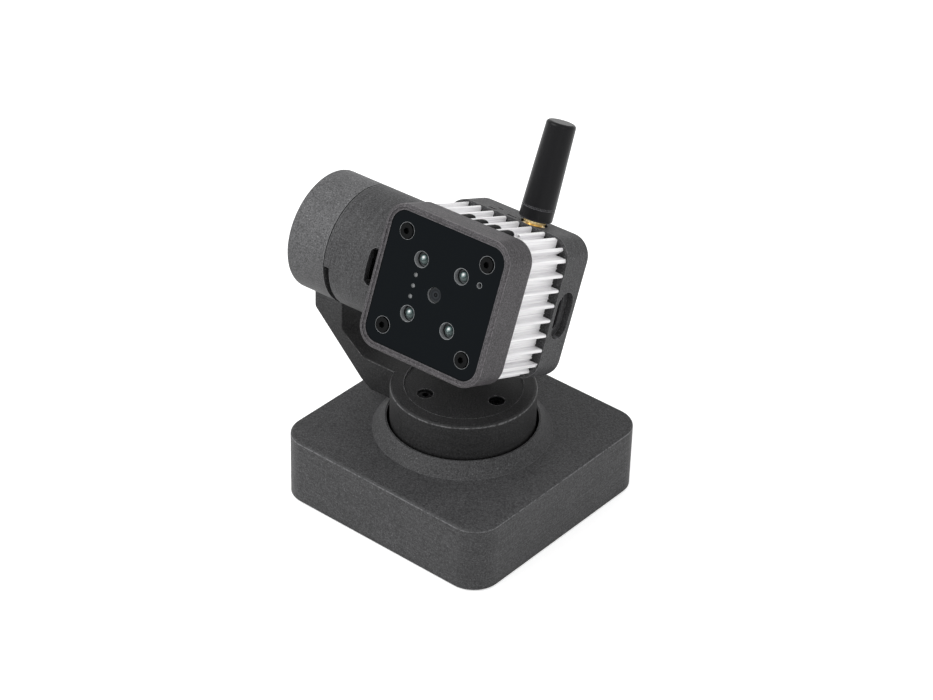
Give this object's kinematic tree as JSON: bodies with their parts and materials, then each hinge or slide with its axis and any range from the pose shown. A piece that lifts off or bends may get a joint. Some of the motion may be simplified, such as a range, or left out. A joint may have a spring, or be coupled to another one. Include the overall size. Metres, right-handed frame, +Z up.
{
  "type": "pan-tilt camera",
  "caption": "Desk camera head with a finned heatsink and stub antenna, tilted by a side arm motor and panned by a drum in a square base.",
  "frame": {"origin": "on the surface that the rubber sole stands on, under the pan axis at the middle of the base", "axes": "+Z up along the pan axis; the base is square to X and Y; the camera looks along -Y; the arm is at -X"},
  "size_m": [0.0842, 0.071, 0.1049],
  "materials": {
    "printed_nylon": "grainy printed",
    "soft_rubber": "matte",
    "blackened_steel": "black oxide",
    "circuit_board": "solder mask",
    "chip_resin": "moulded",
    "socket_steel": "plated",
    "motor_aluminium": "turned",
    "magnet_steel": "plated",
    "copper_winding": "enamelled wire",
    "bearing_steel": "ground",
    "black_acrylic": "polished",
    "clear_resin": "moulded",
    "lamp_resin": "moulded",
    "black_comb": "printed",
    "light_pipe": "moulded",
    "lens_glass": "polished",
    "lens_housing": "moulded",
    "fin_aluminium": "satin anodised",
    "thermal_pad": "soft",
    "gold_brass": "gold plated",
    "antenna_shell": "satin moulded"
  },
  "bodies": {
    "base": {"base_housing": "printed_nylon", "base_bottom_plate": "printed_nylon", "rubber_sole": "soft_rubber", "base_screws": "blackened_steel", "base_circuit_board": "circuit_board", "base_board_screws": "blackened_steel", "motor_driver_chips": "chip_resin", "base_power_socket": "socket_steel", "pan_motor_stator": "motor_aluminium", "pan_motor_windings": "copper_winding", "pan_motor_bearings": "bearing_steel", "pan_motor_screws": "blackened_steel"},
    "pan_arm": {"pan_bracket": "printed_nylon", "pan_motor_rotor": "motor_aluminium", "pan_motor_magnets": "magnet_steel", "drum_screws": "blackened_steel", "tilt_motor_stator": "motor_aluminium", "tilt_motor_windings": "copper_winding", "tilt_motor_bearings": "bearing_steel", "tilt_motor_screws": "blackened_steel"},
    "camera_head": {"tilt_drum": "printed_nylon", "tilt_motor_rotor": "motor_aluminium", "tilt_motor_magnets": "magnet_steel", "rotor_screws": "blackened_steel", "head_mount_screws": "blackened_steel", "front_cover": "printed_nylon", "finger_comb": "black_comb", "front_panel": "black_acrylic", "panel_screws": "blackened_steel", "infrared_lamps": "lamp_resin", "lamp_domes": "clear_resin", "indicator_lights": "light_pipe", "lamp_board": "circuit_board", "lamp_board_spacers": "bearing_steel", "lens_barrel": "lens_housing", "lens_glass": "lens_glass", "sensor_board": "circuit_board", "sensor_thermal_pad": "thermal_pad", "heatsink": "fin_aluminium", "processor_thermal_pad": "thermal_pad", "processor_chip": "chip_resin", "main_board": "circuit_board", "rear_cover": "printed_nylon", "rear_screws": "blackened_steel", "side_socket": "socket_steel", "interface_board": "circuit_board", "interface_board_pillars": "bearing_steel", "antenna_connector": "gold_brass", "antenna_collar": "antenna_shell", "antenna_sleeve": "antenna_shell"}
  },
  "joints": [
    {"name": "pan", "type": "hinge", "parent": "base", "child": "pan_arm", "pos_m": [0, 0, 0.03], "axis": [0, 0, 1], "range_deg": [-172.5, 172.5]},
    {"name": "tilt", "type": "hinge", "parent": "pan_arm", "child": "camera_head", "pos_m": [0, 0, 0.0645], "axis": [-0.9991, -0.0419, 0], "range_deg": [-109.7, 65.3]}
  ]
}
